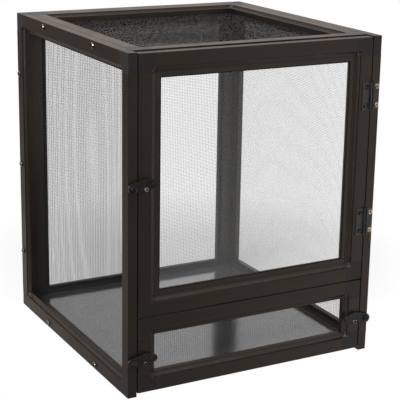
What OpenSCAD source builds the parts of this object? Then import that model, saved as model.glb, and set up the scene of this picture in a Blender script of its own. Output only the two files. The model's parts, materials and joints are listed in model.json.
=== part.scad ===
// Mesh reptile cage: screwed aluminium panels, a clear hinged door and a lift-out mesh hatch.
// X runs to the right, Y to the back and Z up. The origin lies under the middle of the whole box.

/* [Cage] */
// Outside width over the side panels
cage_w = 410; // [340:1:560]
// Outside depth of the side panels
cage_d = 418; // [340:1:560]
// Height of the side panels
cage_h = 494; // [420:1:760]
// Seam between a side panel and the panels that it holds
panel_seam = 0.8; // [0:0.1:0.9]

/* [Frame extrusion] */
// Thickness of every framed panel
frame_t = 14; // [13:0.5:18]
// Width of the hollow part of the extrusion
main_w = 20; // [18:0.5:24]
// Width of the thin flange beside it
flange_w = 8; // [7.5:0.5:12]
// How far the flange lies behind the outer face
step_depth = 5; // [4:0.25:7.5]
// Wall of the hollow part
tube_wall = 1.4; // [1:0.1:2]
// Width of the spline groove in the flange
groove_w = 3.6; // [3:0.1:4]
// Depth of the spline groove
groove_depth = 4.5; // [3:0.25:5]
// Wall between the hollow part and the groove
groove_wall = 1.5; // [1:0.1:2]

/* [Corner keys] */
// Length of a key's leg inside the extrusion
key_leg = 10; // [6:1:12]
// Slack round a key's leg
key_slack = 0.1; // [0.05:0.05:0.3]

/* [Screens and splines] */
// Thickness of a fly screen
screen_t = 0.8; // [0.5:0.1:1.2]
// Distance between the net's strands
net_pitch = 41; // [38:1:60]
// Distance between the strands of the hatch's net
hatch_net_pitch = 17; // [15:1:24]
// Width of a strand
net_strand = 2.4; // [1.5:0.1:4]
// Slack on each side of a spline in its groove
spline_slack = 0.1; // [0.05:0.05:0.2]
// How far a spline stays below the inner face
spline_sink = 0.4; // [0.2:0.1:1]

/* [Floor] */
// Thickness of the floor sheet
floor_t = 2; // [1:0.5:4]
// Room between the floor sheet and the panels round it
floor_room = 0.5; // [0.2:0.1:2]

/* [Door and hatch] */
// Gap beside the door and the hatch
door_gap = 1.6; // [0.8:0.1:3]
// Gap between the door and the hatch
split_gap = 2.2; // [0.8:0.1:4]
// Height of the hatch
hatch_h = 112; // [100:1:150]
// Height of the hatch above the ground
hatch_lift = 5; // [4:0.5:6.5]
// How far the door's top lies below the cage's top
door_drop = 1.5; // [0.5:0.5:4]
// Slit between the door and the top and base panels
door_slit = 5; // [4:0.5:8]

/* [Glazing] */
// Thickness of the clear pane
pane_t = 2; // [1.5:0.25:2.5]
// Slack round the pane in its beads
pane_slack = 0.1; // [0.05:0.05:0.2]
// Width of a glazing bead
bead_w = 6.5; // [5:0.5:12]
// Thickness of a bead's front lip
bead_lip = 1.6; // [1:0.1:1.8]
// Thickness of a bead's closed side
bead_back = 1.2; // [1:0.1:2]
// How far a bead lies behind the flange
bead_set = 0.5; // [0.2:0.1:0.8]
// Joint between two beads at a corner
bead_joint = 0.2; // [0.1:0.05:0.5]
// Width of the soft lip along the beads' inner edge
lip_w = 1.4; // [0.8:0.1:2.5]

/* [Hinges] */
// Height of a hinge
hinge_h = 42; // [36:1:60]
// Radius of a knuckle
knuckle_r = 2.8; // [2.4:0.1:3.2]
// Radius of a hinge pin
hinge_pin_r = 1.3; // [1:0.1:1.5]
// Running clearance round a hinge pin
pin_play = 0.05; // [0.02:0.01:0.1]
// Thickness of a leaf
leaf_t = 1.2; // [0.8:0.1:1.6]
// Width of the door leaf from the pin
door_leaf_w = 15.5; // [14:0.5:18]
// Width of the post leaf from the pin
post_leaf_w = 13.5; // [13:0.25:14]
// Distance of a leaf's screws from the pin
leaf_screw_x = 9.3; // [8.5:0.1:9.5]
// Distance between a leaf's two screws
leaf_screw_pitch = 28; // [20:1:30]
// Clear room round a knuckle and between the two knuckles
knuckle_gap = 0.4; // [0.3:0.1:0.8]
// Gap between a knuckle and the door
hinge_lift = 0.2; // [0.1:0.05:0.5]
// Distance of the upper hinge from the door's top
hinge_top_inset = 87.5; // [60:0.5:120]
// Distance of the lower hinge from the door's bottom
hinge_low_inset = 92; // [60:0.5:120]

/* [Hook latches] */
// Distance of a latch's pivot from the cage's side
pivot_inset = 6; // [6:0.25:8]
// Height of the door latch above the door's middle
door_latch_rise = 3; // [-40:1:40]
// Drop of the hatch latches below the hatch's middle
hatch_latch_drop = 7; // [0:0.5:8]
// Thickness of a hook
latch_t = 4; // [3:0.5:6]
// Gap between a hook and the door
latch_gap = 1.4; // [1:0.1:2]
// Face clearance of a hook at its pivot
latch_play = 0.2; // [0.1:0.05:0.4]
// Radius of a hook's pivot end
latch_boss_r = 7.5; // [6.5:0.5:8]
// Radius of a hook's crown over the keeper
latch_crown_r = 6.5; // [5.5:0.5:8]
// Height of the crown's middle above the pivot
latch_crown_rise = 6; // [5:0.5:8]
// How far the crown's middle lies past the keeper
latch_crown_ahead = 1; // [0:0.5:3]
// Radius of a hook's finger lobe
latch_lobe_r = 6; // [5:0.5:7]
// Reach from the pivot to the lobe's middle
latch_reach = 32; // [30:0.5:36]
// Height of the lobe's middle above the pivot
latch_lobe_rise = 3.5; // [2:0.5:6]
// How far the lobe's pad stands in front of the hook
latch_pad_h = 1.4; // [0.6:0.1:2]
// Rim of the lobe outside its pad, and of the pivot end outside its spacer
latch_rim = 1.2; // [0.8:0.1:2]
// Radius of a pivot screw's shank
pivot_r = 2; // [1.5:0.1:2.5]
// Radius of a pivot screw's head
pivot_head_r = 5.4; // [4.5:0.1:6]
// Height of a pivot screw's head
pivot_head_h = 2.4; // [1.6:0.1:3]
// Radius of a keeper's head
keeper_r = 4.2; // [3.6:0.1:4.6]
// Radius of a keeper's neck
keeper_neck_r = 3.2; // [2.4:0.1:3.4]
// Drop of a keeper below the pivot
keeper_drop = 2.5; // [1:0.25:3.5]
// Room between a hook and its keeper
keeper_room = 0.3; // [0.2:0.05:0.5]

/* [Screws and pins] */
// Radius of a panel screw's head
screw_head_r = 4.4; // [3:0.1:4.8]
// Height of a panel screw's head
screw_head_h = 2.6; // [1.6:0.1:3]
// Radius of a panel screw's shank
screw_r = 1.6; // [1.2:0.1:2]
// Distance between the two screws along a side panel's top or bottom edge
edge_screw_pitch = 187; // [140:1:220]
// Distance between the screws along a side panel's back edge
back_screw_pitch = 150; // [120:1:165]
// Radius of a hinge screw's head
leaf_screw_head_r = 3.8; // [2.4:0.1:4]
// Height of a hinge screw's head
leaf_screw_head_h = 1.5; // [1:0.1:1.6]
// Radius of a hinge screw's shank
leaf_screw_r = 1.3; // [1:0.1:1.6]
// Distance of a stop screw from the top panel's side
stop_inset = 51; // [45:1:90]
// Height of the stop screws above the middle of the top panel's edge
stop_rise = 1; // [0:0.25:2]
// Room between a stop screw's head and the door
stop_room = 0.6; // [0.3:0.1:1]
// Radius of a locating pin under the hatch
locating_pin_r = 2; // [1.5:0.1:2.5]
// Distance of a locating pin from the base panel's side
locating_inset = 51; // [45:1:90]
// Slack round a screw or a locating pin in its hole
hole_slack = 0.12; // [0.05:0.01:0.2]
// How far a screw or pin reaches past the last wall that it holds
screw_reach = 4; // [2:0.5:6]

/* [Hidden] */
$fn = 32;

frame_color = [0.17, 0.155, 0.14];
key_color = [0.14, 0.14, 0.145];
screen_color = [0.3, 0.3, 0.31];
rubber_color = [0.06, 0.06, 0.06];
floor_color = [0.32, 0.31, 0.33];
pane_color = [0.85, 0.9, 0.92, 0.3];
bright_color = [0.72, 0.64, 0.45];
black_color = [0.1, 0.1, 0.1];

profile_w = main_w + flange_w;
groove_start = main_w + groove_wall;
lip_start = groove_start + groove_w;
cut = 1;

// The pivot screws stand out of the front and add to the depth of the whole box
hook_front = latch_gap + latch_t + latch_play;
front_proud = hook_front + pivot_head_h;
front_y = (front_proud - cage_d) / 2;
back_y = front_y + cage_d;
middle_y = (front_y + back_y) / 2;

inner_w = cage_w - 2 * frame_t;
flat_w = inner_w - 2 * panel_seam;
flat_front_y = front_y + frame_t + door_slit;
flat_d = back_y - frame_t - flat_front_y;
door_w = inner_w - 2 * door_gap;
hatch_z = hatch_lift;
door_z = hatch_z + hatch_h + split_gap;
door_h = cage_h - door_drop - door_z;

bead_front = step_depth + bead_set;
slot_front = bead_front + bead_lip;
slot_back = slot_front + pane_t + 2 * pane_slack;
bead_end = profile_w + bead_w;
pane_edge = profile_w + bead_back + pane_slack;

hinge_x = inner_w / 2 - door_gap / 2;
hinge_y = front_y - knuckle_r - hinge_lift;
hinge_heights = [door_z + hinge_low_inset, door_z + door_h - hinge_top_inset];

pivot_x = cage_w / 2 - pivot_inset;
keeper_x = door_w / 2 - main_w / 2;
keeper_arm = pivot_x - keeper_x;
door_pivot_z = door_z + door_h / 2 + door_latch_rise;
hatch_pivot_z = hatch_z + hatch_h / 2 - hatch_latch_drop;
latch_pivots = [[-1, door_pivot_z], [-1, hatch_pivot_z], [1, hatch_pivot_z]];
notch_r = keeper_r + keeper_room;
notch_sweep = 25;
latch_crown = [keeper_arm + latch_crown_ahead, latch_crown_rise];
latch_tip = [latch_reach, latch_lobe_rise];

edge_screw_ys = [for (s = [-1, 1]) middle_y + s * edge_screw_pitch / 2];
back_screw_zs = [for (s = [-1, 0, 1]) cage_h / 2 + s * back_screw_pitch];
screw_hole_r = screw_r + hole_slack;
leaf_hole_r = leaf_screw_r + hole_slack;
stop_x = flat_w / 2 - stop_inset;
stop_z = cage_h - frame_t / 2 + stop_rise;
stop_head_h = door_slit - stop_room;
locating_x = flat_w / 2 - locating_inset;
locating_z = (hatch_z + frame_t) / 2;
head_top_share = 0.72;
recess_span_share = 1.1;
recess_w_share = 0.36;
recess_depth_share = 0.45;

// Places for a panel that is drawn with its outer face at z = 0 and its inner face at z = frame_t
module on_left() { translate([-cage_w / 2, front_y, 0]) rotate([90, 0, 90]) children(); }
module on_right() { mirror([1, 0, 0]) on_left() children(); }
module on_back() { translate([-flat_w / 2, back_y, 0]) rotate([90, 0, 0]) children(); }
module on_top() { translate([-flat_w / 2, back_y - frame_t, cage_h]) rotate([180, 0, 0]) children(); }
module on_base() { translate([-flat_w / 2, flat_front_y, 0]) children(); }
module on_door() { translate([door_w / 2, front_y, door_z]) rotate([90, 0, 180]) children(); }
module on_hatch() { translate([door_w / 2, front_y, hatch_z]) rotate([90, 0, 180]) children(); }

// The four sides of a panel, for a shape that is drawn along its low edge
module low_side() { children(); }
module high_side(h) { translate([0, h, 0]) mirror([0, 1, 0]) children(); }
module first_side() { mirror([1, -1, 0]) children(); }
module last_side(w) { translate([w, 0, 0]) mirror([1, 0, 0]) mirror([1, -1, 0]) children(); }

// Draws a section of [across, depth] along X for the length between two corner keys
module along_edge(length, margin = profile_w) {
    translate([margin, 0, 0]) rotate([90, 0, 90]) linear_extrude(length - 2 * margin) children();
}

// Hollow extrusion with a stepped flange, a spline groove and a lip that the screen lies on
module extrusion_section() {
    difference() {
        union() {
            square([main_w, frame_t]);
            translate([0, step_depth]) square([lip_start, frame_t - step_depth]);
            translate([0, step_depth]) square([profile_w, frame_t - step_depth - screen_t]);
        }
        translate([tube_wall, tube_wall]) square([main_w - 2 * tube_wall, frame_t - 2 * tube_wall]);
        translate([groove_start, frame_t - groove_depth]) square([groove_w, groove_depth + cut]);
    }
}

module bar(length) { along_edge(length) extrusion_section(); }

// Plastic corner key: a block, stepped like the extrusions, with two legs that push into them
module corner_key() {
    leg_w = main_w - 2 * tube_wall - 2 * key_slack;
    leg_t = frame_t - 2 * tube_wall - 2 * key_slack;
    leg_in = tube_wall + key_slack;
    difference() {
        union() {
            translate([0, 0, step_depth]) cube([profile_w, profile_w, frame_t - step_depth]);
            linear_extrude(step_depth) {
                square([profile_w, main_w]);
                square([main_w, profile_w]);
            }
            translate([main_w, leg_in, leg_in]) cube([flange_w + key_leg, leg_w, leg_t]);
            translate([leg_in, main_w, leg_in]) cube([leg_w, flange_w + key_leg, leg_t]);
        }
        translate([lip_start, lip_start, frame_t - screen_t]) cube([flange_w, flange_w, screen_t + cut]);
    }
}

module corner_keys(w, h) {
    for (flip_x = [0, 1], flip_y = [0, 1])
        translate([flip_x * w, flip_y * h, 0]) mirror([flip_x, 0, 0]) mirror([0, flip_y, 0]) corner_key();
}

// Flat net whose strands frame square gaps, with a wider edge that lies on the lip
module net(w, h, pitch) {
    edge = profile_w - lip_start + net_strand;
    columns = max(1, round((w - 2 * edge) / pitch));
    rows = max(1, round((h - 2 * edge) / pitch));
    gap_w = (w - 2 * edge - (columns - 1) * net_strand) / columns;
    gap_h = (h - 2 * edge - (rows - 1) * net_strand) / rows;
    linear_extrude(screen_t) difference() {
        square([w, h]);
        for (i = [0 : columns - 1], j = [0 : rows - 1])
            translate([edge + i * (gap_w + net_strand), edge + j * (gap_h + net_strand)])
                square([gap_w, gap_h]);
    }
}

module screen(w, h, pitch = net_pitch) {
    translate([lip_start, lip_start, frame_t - screen_t]) net(w - 2 * lip_start, h - 2 * lip_start, pitch);
}

// Rubber strip with a round back, pressed into the groove
module spline_section() {
    spline_w = groove_w - 2 * spline_slack;
    spline_low = frame_t - groove_depth + spline_slack;
    spline_high = frame_t - spline_sink - spline_w / 2;
    translate([groove_start + spline_slack, spline_low]) square([spline_w, spline_high - spline_low]);
    translate([groove_start + groove_w / 2, spline_high]) circle(spline_w / 2);
}

module splines(w, h) {
    low_side() along_edge(w) spline_section();
    high_side(h) along_edge(w) spline_section();
    first_side() along_edge(h) spline_section();
    last_side(w) along_edge(h) spline_section();
}

// Rods along X and Y, used for shanks, pins and their holes
module rod_x(x, y, z, r, length) { translate([x, y, z]) rotate([0, 90, 0]) cylinder(r = r, h = length); }
module rod_y(x, y, z, r, length) { translate([x, y, z]) rotate([-90, 0, 0]) cylinder(r = r, h = length); }

// Pan-head screw along Z, with its seat at z = 0, its head below and a cross recess
module pan_screw(head_r, head_h, shank_r, shank_length, seat = 0) {
    recess_w = head_r * recess_w_share;
    recess_d = head_h * recess_depth_share;
    recess_span = head_r * recess_span_share;
    rim_h = head_h / 2;
    difference() {
        union() {
            translate([0, 0, -seat - rim_h]) cylinder(r = head_r, h = rim_h);
            translate([0, 0, -seat - head_h])
                cylinder(r1 = head_r * head_top_share, r2 = head_r, h = head_h - rim_h);
        }
        for (turn = [0, 90])
            rotate(turn) translate([-recess_span / 2, -recess_w / 2, -seat - head_h - cut])
                cube([recess_span, recess_w, recess_d + cut]);
    }
    translate([0, 0, -seat]) cylinder(r = shank_r, h = shank_length + seat);
}

// Holes for the screws that join the side panels to the top, base and back panels
module side_screw_hole(y, z) {
    hole_length = frame_t + panel_seam + tube_wall + 2 * cut;
    for (x = [-cage_w / 2 - cut, cage_w / 2 + cut - hole_length])
        rod_x(x, y, z, screw_hole_r, hole_length);
}

module edge_screw_holes(z) { for (y = edge_screw_ys) side_screw_hole(y, z); }
module back_screw_holes() { for (z = back_screw_zs) side_screw_hole(back_y - frame_t / 2, z); }

module top_screw_holes() { edge_screw_holes(cage_h - frame_t / 2); }
module base_screw_holes() { edge_screw_holes(frame_t / 2); }

module pivot_screw_holes() {
    for (p = latch_pivots)
        rod_y(p[0] * pivot_x, front_y - cut, p[1], pivot_r + hole_slack, tube_wall + 2 * cut);
}

// Side s is -1 for the door leaf and 1 for the post leaf
module leaf_screw_places(s) {
    for (z = hinge_heights, t = [-1, 1])
        translate([hinge_x + s * leaf_screw_x, front_y, z + t * leaf_screw_pitch / 2]) children();
}

module leaf_screw_holes(s) {
    leaf_screw_places(s) rod_y(0, -leaf_t - cut, 0, leaf_hole_r, leaf_t + tube_wall + 2 * cut);
}

module keeper_hole(s, z) {
    rod_y(s * keeper_x, front_y - cut, z - keeper_drop, screw_hole_r, tube_wall + 2 * cut);
}

module stop_screw_holes() {
    for (x = [-stop_x, stop_x])
        rod_y(x, flat_front_y - cut, stop_z, screw_hole_r, tube_wall + 2 * cut);
}

// Side panels
module side_front_stile() { on_left() first_side() bar(cage_h); }
module side_back_stile() { on_left() last_side(cage_d) bar(cage_h); }
module side_top_rail() { on_left() high_side(cage_h) bar(cage_d); }
module side_bottom_rail() { on_left() low_side() bar(cage_d); }

module left_front_stile() {
    color(frame_color) difference() {
        side_front_stile();
        pivot_screw_holes();
    }
}
module left_back_stile() {
    color(frame_color) difference() {
        side_back_stile();
        back_screw_holes();
    }
}
module left_top_rail() {
    color(frame_color) difference() {
        side_top_rail();
        top_screw_holes();
    }
}
module left_bottom_rail() {
    color(frame_color) difference() {
        side_bottom_rail();
        base_screw_holes();
    }
}
module left_corner_keys() { color(key_color) on_left() corner_keys(cage_d, cage_h); }
module left_screen() { color(screen_color) on_left() screen(cage_d, cage_h); }

module right_front_stile() {
    color(frame_color) difference() {
        mirror([1, 0, 0]) side_front_stile();
        pivot_screw_holes();
        leaf_screw_holes(1);
    }
}
module right_back_stile() {
    color(frame_color) difference() {
        mirror([1, 0, 0]) side_back_stile();
        back_screw_holes();
    }
}
module right_top_rail() {
    color(frame_color) difference() {
        mirror([1, 0, 0]) side_top_rail();
        top_screw_holes();
    }
}
module right_bottom_rail() {
    color(frame_color) difference() {
        mirror([1, 0, 0]) side_bottom_rail();
        base_screw_holes();
    }
}
module right_corner_keys() { color(key_color) on_right() corner_keys(cage_d, cage_h); }
module right_screen() { color(screen_color) on_right() screen(cage_d, cage_h); }

// Back panel
module back_left_stile() {
    color(frame_color) difference() {
        on_back() first_side() bar(cage_h);
        back_screw_holes();
    }
}
module back_right_stile() {
    color(frame_color) difference() {
        on_back() last_side(flat_w) bar(cage_h);
        back_screw_holes();
    }
}
module back_top_rail() { color(frame_color) on_back() high_side(cage_h) bar(flat_w); }
module back_bottom_rail() { color(frame_color) on_back() low_side() bar(flat_w); }
module back_corner_keys() { color(key_color) on_back() corner_keys(flat_w, cage_h); }
module back_screen() { color(screen_color) on_back() screen(flat_w, cage_h); }

// Top panel
module top_left_rail() {
    color(frame_color) difference() {
        on_top() first_side() bar(flat_d);
        top_screw_holes();
    }
}
module top_right_rail() {
    color(frame_color) difference() {
        on_top() last_side(flat_w) bar(flat_d);
        top_screw_holes();
    }
}
module top_front_rail() {
    color(frame_color) difference() {
        on_top() high_side(flat_d) bar(flat_w);
        stop_screw_holes();
    }
}
module top_back_rail() { color(frame_color) on_top() low_side() bar(flat_w); }
module top_corner_keys() { color(key_color) on_top() corner_keys(flat_w, flat_d); }
module top_screen() { color(screen_color) on_top() screen(flat_w, flat_d); }

// Base panel
module base_left_rail() {
    color(frame_color) difference() {
        on_base() first_side() bar(flat_d);
        base_screw_holes();
    }
}
module base_right_rail() {
    color(frame_color) difference() {
        on_base() last_side(flat_w) bar(flat_d);
        base_screw_holes();
    }
}
module base_front_rail() {
    color(frame_color) difference() {
        on_base() low_side() bar(flat_w);
        locating_pin_places() rod_y(0, -cut, 0, locating_pin_r + hole_slack, tube_wall + 2 * cut);
    }
}
module base_back_rail() { color(frame_color) on_base() high_side(flat_d) bar(flat_w); }
module base_corner_keys() { color(key_color) on_base() corner_keys(flat_w, flat_d); }
module floor_sheet() {
    sheet_w = inner_w - 2 * floor_room;
    color(floor_color) translate([-sheet_w / 2, flat_front_y, frame_t])
        cube([sheet_w, flat_d - floor_room, floor_t]);
}

module screen_splines() {
    color(rubber_color) {
        on_left() splines(cage_d, cage_h);
        on_right() splines(cage_d, cage_h);
        on_back() splines(flat_w, cage_h);
        on_top() splines(flat_w, flat_d);
    }
}

// Screws through the side panels
module side_screw(s, y, z) {
    shank = frame_t + panel_seam + tube_wall + screw_reach;
    translate([s * cage_w / 2, y, z]) rotate([0, -s * 90, 0])
        pan_screw(screw_head_r, screw_head_h, screw_r, shank);
}

module panel_screws() {
    color(bright_color) for (s = [-1, 1]) {
        for (y = edge_screw_ys, z = [frame_t / 2, cage_h - frame_t / 2]) side_screw(s, y, z);
        for (z = back_screw_zs) side_screw(s, back_y - frame_t / 2, z);
    }
}

// Screws whose heads stop the door in the slit under the top panel's front edge
module door_stop_screws() {
    color(bright_color) for (x = [-stop_x, stop_x])
        translate([x, flat_front_y, stop_z]) rotate([-90, 0, 0])
            pan_screw(screw_head_r, stop_head_h, screw_r, tube_wall + screw_reach);
}

// Pins in the base panel's front edge that carry the hatch
module locating_pin_places() {
    for (x = [-locating_x, locating_x]) translate([x, flat_front_y, locating_z]) children();
}

module hatch_locating_pins() {
    pin_length = door_slit + 2 * tube_wall + 2 * screw_reach;
    color(bright_color) locating_pin_places()
        rod_y(0, -door_slit - tube_wall - screw_reach, 0, locating_pin_r, pin_length);
}

// Door
module door_hinge_stile() {
    color(frame_color) difference() {
        on_door() first_side() bar(door_h);
        leaf_screw_holes(-1);
    }
}
module door_latch_stile() {
    color(frame_color) difference() {
        on_door() last_side(door_w) bar(door_h);
        keeper_hole(-1, door_pivot_z);
    }
}
module door_top_rail() { color(frame_color) on_door() high_side(door_h) bar(door_w); }
module door_bottom_rail() { color(frame_color) on_door() low_side() bar(door_w); }
module door_corner_keys() { color(key_color) on_door() corner_keys(door_w, door_h); }

// Channel that grips the pane, with a tongue on the lip that the spline locks
module bead_section() {
    difference() {
        union() {
            translate([profile_w, bead_front]) square([bead_w, frame_t - bead_front]);
            translate([lip_start, frame_t - screen_t]) square([bead_end - lip_start, screen_t]);
        }
        translate([profile_w + bead_back, slot_front]) square([bead_w, slot_back - slot_front]);
    }
}

module door_glazing_beads() {
    color(frame_color) on_door() {
        low_side() along_edge(door_w) bead_section();
        high_side(door_h) along_edge(door_w) bead_section();
        first_side() along_edge(door_h, bead_end + bead_joint) bead_section();
        last_side(door_w) along_edge(door_h, bead_end + bead_joint) bead_section();
    }
}

module door_pane() {
    color(pane_color) on_door() translate([pane_edge, pane_edge, slot_front + pane_slack])
        cube([door_w - 2 * pane_edge, door_h - 2 * pane_edge, pane_t]);
}

// Soft strip along the beads' inner edge, just in front of the pane
module lip_section() { translate([bead_end, bead_front]) square([lip_w, bead_lip]); }

module door_splines() {
    color(rubber_color) on_door() {
        splines(door_w, door_h);
        low_side() along_edge(door_w, bead_end) lip_section();
        high_side(door_h) along_edge(door_w, bead_end) lip_section();
        first_side() along_edge(door_h, bead_end + lip_w) lip_section();
        last_side(door_w) along_edge(door_h, bead_end + lip_w) lip_section();
    }
}

// Hatch
module hatch_left_stile() {
    color(frame_color) difference() {
        on_hatch() last_side(door_w) bar(hatch_h);
        keeper_hole(-1, hatch_pivot_z);
    }
}
module hatch_right_stile() {
    color(frame_color) difference() {
        on_hatch() first_side() bar(hatch_h);
        keeper_hole(1, hatch_pivot_z);
    }
}
module hatch_top_rail() { color(frame_color) on_hatch() high_side(hatch_h) bar(door_w); }
module hatch_bottom_rail() {
    color(frame_color) difference() {
        on_hatch() low_side() bar(door_w);
        locating_pin_places()
            rod_y(0, -door_slit - tube_wall - cut, 0, locating_pin_r + hole_slack, tube_wall + 2 * cut);
    }
}
module hatch_corner_keys() { color(key_color) on_hatch() corner_keys(door_w, hatch_h); }
module hatch_screen() { color(screen_color) on_hatch() screen(door_w, hatch_h, hatch_net_pitch); }
module hatch_splines() { color(rubber_color) on_hatch() splines(door_w, hatch_h); }

// One leaf with its half knuckle. Side s is -1 for the door leaf and 1 for the post leaf,
// and level is 1 for an upper knuckle and 0 for a lower one.
module leaf(s, width, level) {
    knuckle_h = (hinge_h - knuckle_gap) / 2;
    knuckle_z = level * (hinge_h - knuckle_h) - hinge_h / 2;
    edge = knuckle_r + knuckle_gap;
    plate_x = s > 0 ? edge : -width;
    tab_x = s > 0 ? 0 : -edge;
    plate_y = front_y - leaf_t - hinge_y;
    for (z = hinge_heights) translate([hinge_x, hinge_y, z]) difference() {
        union() {
            translate([plate_x, plate_y, -hinge_h / 2]) cube([width - edge, leaf_t, hinge_h]);
            translate([tab_x, plate_y, knuckle_z]) cube([edge, leaf_t, knuckle_h]);
            translate([0, 0, knuckle_z]) cylinder(r = knuckle_r, h = knuckle_h);
        }
        translate([0, 0, knuckle_z - cut]) cylinder(r = hinge_pin_r + pin_play, h = knuckle_h + 2 * cut);
    }
}

module hinge_post_leaves() {
    color(black_color) difference() {
        leaf(1, post_leaf_w, 0);
        leaf_screw_holes(1);
    }
}
module hinge_door_leaves() {
    color(black_color) difference() {
        leaf(-1, door_leaf_w, 1);
        leaf_screw_holes(-1);
    }
}
module hinge_pins() {
    color(black_color) for (z = hinge_heights)
        translate([hinge_x, hinge_y, z - hinge_h / 2]) cylinder(r = hinge_pin_r, h = hinge_h);
}

module leaf_screws(s) {
    leaf_screw_places(s) translate([0, -leaf_t, 0]) rotate([-90, 0, 0])
        pan_screw(leaf_screw_head_r, leaf_screw_head_h, leaf_screw_r, leaf_t + tube_wall + screw_reach);
}
module hinge_post_screws() { color(bright_color) leaf_screws(1); }
module hinge_door_screws() { color(black_color) leaf_screws(-1); }

// Hook latch that turns on a pivot screw in the post and rests on a keeper screw in the door.
// It is drawn for the left side, with its pivot at the origin.
module hook_outline() {
    difference() {
        union() {
            hull() {
                circle(latch_boss_r);
                translate(latch_crown) circle(latch_crown_r);
            }
            hull() {
                translate(latch_crown) circle(latch_crown_r);
                translate(latch_tip) circle(latch_lobe_r);
            }
        }
        hull() for (turn = [0, notch_sweep / 2, notch_sweep])
            rotate(-turn) translate([keeper_arm, -keeper_drop]) circle(notch_r);
    }
}

module hook() {
    rotate([90, 0, 0]) difference() {
        union() {
            translate([0, 0, latch_gap]) linear_extrude(latch_t) hook_outline();
            translate([0, 0, latch_play]) cylinder(r = latch_boss_r - latch_rim, h = latch_gap);
            translate([latch_tip[0], latch_tip[1], latch_gap])
                cylinder(r = latch_lobe_r - latch_rim, h = latch_t + latch_pad_h);
        }
        translate([0, 0, -cut]) cylinder(r = pivot_r + pin_play, h = front_proud + 2 * cut);
    }
}

module door_latch() { color(black_color) translate([-pivot_x, front_y, door_pivot_z]) hook(); }
module hatch_left_latch() { color(black_color) translate([-pivot_x, front_y, hatch_pivot_z]) hook(); }
module hatch_right_latch() { color(black_color) mirror([1, 0, 0]) hatch_left_latch(); }

module latch_pivot_screws() {
    color(black_color) for (p = latch_pivots)
        translate([p[0] * pivot_x, front_y, p[1]]) rotate([-90, 0, 0])
            pan_screw(pivot_head_r, pivot_head_h, pivot_r, tube_wall + screw_reach, hook_front);
}

// Keeper screw with a neck under its head, which lies level with the hook
module keeper(s, z) {
    translate([s * keeper_x, front_y, z - keeper_drop]) rotate([-90, 0, 0]) {
        pan_screw(keeper_r, latch_t, screw_r, tube_wall + screw_reach, latch_gap);
        translate([0, 0, -latch_gap]) cylinder(r = keeper_neck_r, h = latch_gap);
    }
}
module door_keeper_screw() { color(bright_color) keeper(-1, door_pivot_z); }
module hatch_keeper_screws() { color(bright_color) for (s = [-1, 1]) keeper(s, hatch_pivot_z); }

left_front_stile();
left_back_stile();
left_top_rail();
left_bottom_rail();
left_corner_keys();
left_screen();
right_front_stile();
right_back_stile();
right_top_rail();
right_bottom_rail();
right_corner_keys();
right_screen();
back_left_stile();
back_right_stile();
back_top_rail();
back_bottom_rail();
back_corner_keys();
back_screen();
top_left_rail();
top_right_rail();
top_front_rail();
top_back_rail();
top_corner_keys();
top_screen();
base_left_rail();
base_right_rail();
base_front_rail();
base_back_rail();
base_corner_keys();
floor_sheet();
screen_splines();
panel_screws();
door_stop_screws();
hatch_locating_pins();
hinge_post_leaves();
hinge_pins();
hinge_post_screws();
latch_pivot_screws();
door_hinge_stile();
door_latch_stile();
door_top_rail();
door_bottom_rail();
door_corner_keys();
door_pane();
door_glazing_beads();
door_splines();
hinge_door_leaves();
hinge_door_screws();
door_keeper_screw();
hatch_left_stile();
hatch_right_stile();
hatch_top_rail();
hatch_bottom_rail();
hatch_corner_keys();
hatch_screen();
hatch_splines();
hatch_keeper_screws();
door_latch();
hatch_left_latch();
hatch_right_latch();
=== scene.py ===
"""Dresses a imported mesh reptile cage: anodised bars, woven screens, a clear door and a plain studio."""

import json
import math
from collections import namedtuple

import bmesh
import bpy
from bpy.props import FloatProperty, FloatVectorProperty, PointerProperty
from mathutils import Matrix, Vector

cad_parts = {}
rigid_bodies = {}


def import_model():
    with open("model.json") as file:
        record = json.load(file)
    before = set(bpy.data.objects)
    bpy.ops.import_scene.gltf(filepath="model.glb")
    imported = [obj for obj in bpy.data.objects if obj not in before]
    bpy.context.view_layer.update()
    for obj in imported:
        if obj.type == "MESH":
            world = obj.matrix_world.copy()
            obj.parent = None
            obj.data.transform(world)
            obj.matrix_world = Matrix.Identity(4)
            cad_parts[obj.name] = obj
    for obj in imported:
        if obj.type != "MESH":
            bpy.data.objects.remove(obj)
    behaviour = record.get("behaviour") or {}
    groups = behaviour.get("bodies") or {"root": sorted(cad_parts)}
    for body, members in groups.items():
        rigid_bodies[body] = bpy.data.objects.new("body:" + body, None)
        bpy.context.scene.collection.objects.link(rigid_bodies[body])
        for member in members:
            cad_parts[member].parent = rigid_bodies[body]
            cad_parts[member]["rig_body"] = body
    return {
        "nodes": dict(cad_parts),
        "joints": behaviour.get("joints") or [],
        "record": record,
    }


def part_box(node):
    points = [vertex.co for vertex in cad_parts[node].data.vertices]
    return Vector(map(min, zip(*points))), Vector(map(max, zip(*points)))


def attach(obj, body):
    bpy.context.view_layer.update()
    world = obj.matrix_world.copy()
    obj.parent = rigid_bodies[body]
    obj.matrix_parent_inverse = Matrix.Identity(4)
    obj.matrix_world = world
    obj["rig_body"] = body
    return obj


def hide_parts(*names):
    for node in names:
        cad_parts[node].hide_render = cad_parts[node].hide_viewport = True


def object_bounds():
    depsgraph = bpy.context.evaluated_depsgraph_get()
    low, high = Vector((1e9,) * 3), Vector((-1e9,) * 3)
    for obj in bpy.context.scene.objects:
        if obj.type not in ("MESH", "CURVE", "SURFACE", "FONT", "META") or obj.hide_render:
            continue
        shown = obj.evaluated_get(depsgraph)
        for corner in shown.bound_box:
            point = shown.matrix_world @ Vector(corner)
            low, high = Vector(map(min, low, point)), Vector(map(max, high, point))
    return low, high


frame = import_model()
cad_low, cad_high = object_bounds()

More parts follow.
